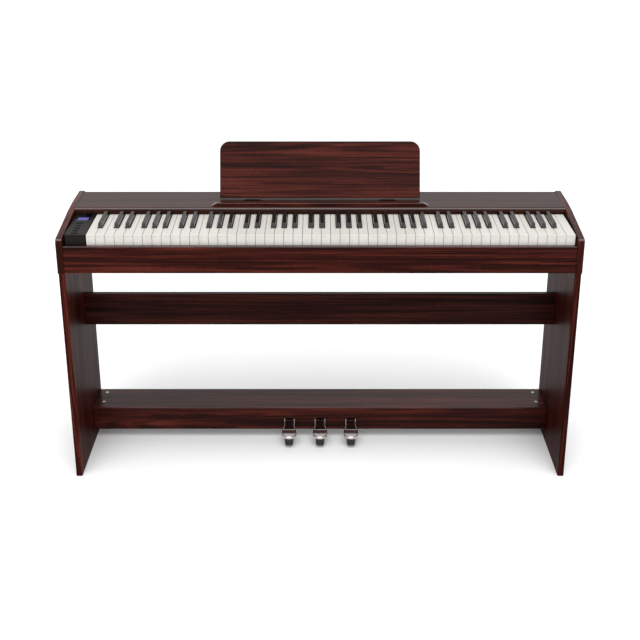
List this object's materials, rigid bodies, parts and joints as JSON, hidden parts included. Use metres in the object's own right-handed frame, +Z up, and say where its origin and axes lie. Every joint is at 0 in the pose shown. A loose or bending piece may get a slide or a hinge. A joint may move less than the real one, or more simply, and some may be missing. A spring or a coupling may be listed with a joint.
{
  "type": "digital piano on stand",
  "caption": "Slim upright-style electronic keyboard instrument in dark wood laminate, on a panel stand with a folding music rest and a shelf with chrome pedals.",
  "frame": {"origin": "on the floor, at the centre of the footprint", "axes": "+X to the player's right along the keyboard, +Y to the back, +Z up"},
  "size_m": [1.315, 0.32, 0.851],
  "materials": {
    "case_wood": "satin dark red-brown wood laminate, straight grain",
    "stand_wood": "satin dark red-brown wood laminate, straight grain",
    "raw_board": "matt dark brown laminate",
    "ivory_key": "semi-gloss white key plastic",
    "ebony_key": "satin black key plastic",
    "key_steel": "zinc-plated pressed steel",
    "felt": "red felt",
    "circuit": "green circuit board",
    "panel_plastic": "fine-textured black plastic",
    "control_plastic": "black plastic",
    "display": "backlit blue-violet display window",
    "speaker_black": "black painted steel",
    "hinge_steel": "dark bronze painted steel",
    "pedal_chrome": "polished chrome",
    "stop_rubber": "black rubber",
    "bracket_steel": "plated steel",
    "fastener_steel": "zinc-plated steel"
  },
  "bodies": {
    "case": {"left_cheek": "case_wood", "right_cheek": "case_wood", "key_slip": "case_wood", "top_lid": "case_wood", "rest_ledge": "case_wood", "left_side_panel": "stand_wood", "right_side_panel": "stand_wood", "stretcher": "stand_wood", "shelf_top": "stand_wood", "pedal_front_board": "stand_wood", "shelf_cleats": "stand_wood", "bottom_board": "raw_board", "rear_panel": "raw_board", "key_frame": "key_steel", "key_pivot_rod": "key_steel", "key_felt": "felt", "contact_board": "circuit", "main_board": "circuit", "control_panel": "panel_plastic", "jack_plate": "panel_plastic", "jack_sockets": "panel_plastic", "display_window": "display", "speakers": "speaker_black", "speaker_grilles": "speaker_black", "hinge_fixed_leaves": "hinge_steel", "hinge_pins": "hinge_steel", "pedal_bracket": "bracket_steel", "pedal_shaft": "bracket_steel", "pedal_springs": "bracket_steel", "shelf_screws": "fastener_steel", "stand_bolts": "fastener_steel", "cam_fittings": "fastener_steel"},
    "music_rest": {"music_rest": "case_wood", "hinge_moving_leaves": "hinge_steel"},
    "volume_knob": {"volume_knob": "control_plastic"},
    "button_1": {"button_1": "control_plastic"},
    "button_2": {"button_2": "control_plastic"},
    "button_3": {"button_3": "control_plastic"},
    "button_4": {"button_4": "control_plastic"},
    "button_5": {"button_5": "control_plastic"},
    "left_pedal": {"pedal_left": "pedal_chrome", "pedal_stop_left": "stop_rubber"},
    "middle_pedal": {"pedal_middle": "pedal_chrome", "pedal_stop_middle": "stop_rubber"},
    "right_pedal": {"pedal_right": "pedal_chrome", "pedal_stop_right": "stop_rubber"},
    "c_4": {"key_c_4": "ivory_key"},
    "c_sharp_4": {"key_c_sharp_4": "ebony_key"},
    "d_4": {"key_d_4": "ivory_key"},
    "d_sharp_4": {"key_d_sharp_4": "ebony_key"},
    "e_4": {"key_e_4": "ivory_key"},
    "f_4": {"key_f_4": "ivory_key"},
    "f_sharp_4": {"key_f_sharp_4": "ebony_key"},
    "g_4": {"key_g_4": "ivory_key"},
    "g_sharp_4": {"key_g_sharp_4": "ebony_key"},
    "a_4": {"key_a_4": "ivory_key"},
    "a_sharp_4": {"key_a_sharp_4": "ebony_key"},
    "b_4": {"key_b_4": "ivory_key"},
    "outer_whites": {"outer_white_keys": "ivory_key"},
    "outer_blacks": {"outer_black_keys": "ebony_key"}
  },
  "joints": [
    {"name": "music_rest_fold", "type": "hinge", "parent": "case", "child": "music_rest", "pos_m": [0, 0.0804, 0.7073], "axis": [1, 0, 0], "range_deg": [0, 105]},
    {"name": "volume_turn", "type": "hinge", "parent": "case", "child": "volume_knob", "pos_m": [-0.6025, 0.001, 0.69], "axis": [0, 0, 1], "range_deg": [-150, 150]},
    {"name": "button_1_press", "type": "slide", "parent": "case", "child": "button_1", "axis": [0, 0, -1], "range_m": [0, 0.0008], "stiffness_N_per_m": 200, "springref_m": -0.002},
    {"name": "button_2_press", "type": "slide", "parent": "case", "child": "button_2", "axis": [0, 0, -1], "range_m": [0, 0.0008], "stiffness_N_per_m": 200, "springref_m": -0.002},
    {"name": "button_3_press", "type": "slide", "parent": "case", "child": "button_3", "axis": [0, 0, -1], "range_m": [0, 0.0008], "stiffness_N_per_m": 200, "springref_m": -0.002},
    {"name": "button_4_press", "type": "slide", "parent": "case", "child": "button_4", "axis": [0, 0, -1], "range_m": [0, 0.0008], "stiffness_N_per_m": 200, "springref_m": -0.002},
    {"name": "button_5_press", "type": "slide", "parent": "case", "child": "button_5", "axis": [0, 0, -1], "range_m": [0, 0.0008], "stiffness_N_per_m": 200, "springref_m": -0.002},
    {"name": "left_pedal_press", "type": "hinge", "parent": "case", "child": "left_pedal", "pos_m": [-0.087, 0.11, 0.058], "axis": [1, 0, 0], "range_deg": [0, 3.4], "stiffness_Nm_per_rad": 15, "springref_deg": -6.88},
    {"name": "middle_pedal_press", "type": "hinge", "parent": "case", "child": "middle_pedal", "pos_m": [0, 0.11, 0.058], "axis": [1, 0, 0], "range_deg": [0, 3.4], "stiffness_Nm_per_rad": 15, "springref_deg": -6.88},
    {"name": "right_pedal_press", "type": "hinge", "parent": "case", "child": "right_pedal", "pos_m": [0.087, 0.11, 0.058], "axis": [1, 0, 0], "range_deg": [0, 3.4], "stiffness_Nm_per_rad": 15, "springref_deg": -6.88},
    {"name": "c_4_press", "type": "hinge", "parent": "case", "child": "c_4", "pos_m": [0, 0.056, 0.67], "axis": [1, 0, 0], "range_deg": [0, 2.9], "stiffness_Nm_per_rad": 1, "springref_deg": -8.59},
    {"name": "c_sharp_4_press", "type": "hinge", "parent": "case", "child": "c_sharp_4", "pos_m": [0, 0.056, 0.67], "axis": [1, 0, 0], "range_deg": [0, 2.9], "stiffness_Nm_per_rad": 1, "springref_deg": -8.59},
    {"name": "d_4_press", "type": "hinge", "parent": "case", "child": "d_4", "pos_m": [0, 0.056, 0.67], "axis": [1, 0, 0], "range_deg": [0, 2.9], "stiffness_Nm_per_rad": 1, "springref_deg": -8.59},
    {"name": "d_sharp_4_press", "type": "hinge", "parent": "case", "child": "d_sharp_4", "pos_m": [0, 0.056, 0.67], "axis": [1, 0, 0], "range_deg": [0, 2.9], "stiffness_Nm_per_rad": 1, "springref_deg": -8.59},
    {"name": "e_4_press", "type": "hinge", "parent": "case", "child": "e_4", "pos_m": [0, 0.056, 0.67], "axis": [1, 0, 0], "range_deg": [0, 2.9], "stiffness_Nm_per_rad": 1, "springref_deg": -8.59},
    {"name": "f_4_press", "type": "hinge", "parent": "case", "child": "f_4", "pos_m": [0, 0.056, 0.67], "axis": [1, 0, 0], "range_deg": [0, 2.9], "stiffness_Nm_per_rad": 1, "springref_deg": -8.59},
    {"name": "f_sharp_4_press", "type": "hinge", "parent": "case", "child": "f_sharp_4", "pos_m": [0, 0.056, 0.67], "axis": [1, 0, 0], "range_deg": [0, 2.9], "stiffness_Nm_per_rad": 1, "springref_deg": -8.59},
    {"name": "g_4_press", "type": "hinge", "parent": "case", "child": "g_4", "pos_m": [0, 0.056, 0.67], "axis": [1, 0, 0], "range_deg": [0, 2.9], "stiffness_Nm_per_rad": 1, "springref_deg": -8.59},
    {"name": "g_sharp_4_press", "type": "hinge", "parent": "case", "child": "g_sharp_4", "pos_m": [0, 0.056, 0.67], "axis": [1, 0, 0], "range_deg": [0, 2.9], "stiffness_Nm_per_rad": 1, "springref_deg": -8.59},
    {"name": "a_4_press", "type": "hinge", "parent": "case", "child": "a_4", "pos_m": [0, 0.056, 0.67], "axis": [1, 0, 0], "range_deg": [0, 2.9], "stiffness_Nm_per_rad": 1, "springref_deg": -8.59},
    {"name": "a_sharp_4_press", "type": "hinge", "parent": "case", "child": "a_sharp_4", "pos_m": [0, 0.056, 0.67], "axis": [1, 0, 0], "range_deg": [0, 2.9], "stiffness_Nm_per_rad": 1, "springref_deg": -8.59},
    {"name": "b_4_press", "type": "hinge", "parent": "case", "child": "b_4", "pos_m": [0, 0.056, 0.67], "axis": [1, 0, 0], "range_deg": [0, 2.9], "stiffness_Nm_per_rad": 1, "springref_deg": -8.59},
    {"name": "outer_whites_press", "type": "hinge", "parent": "case", "child": "outer_whites", "pos_m": [0, 0.056, 0.67], "axis": [1, 0, 0], "range_deg": [0, 2.9], "stiffness_Nm_per_rad": 45, "springref_deg": -8.59},
    {"name": "outer_blacks_press", "type": "hinge", "parent": "case", "child": "outer_blacks", "pos_m": [0, 0.056, 0.67], "axis": [1, 0, 0], "range_deg": [0, 2.9], "stiffness_Nm_per_rad": 31, "springref_deg": -8.59}
  ]
}
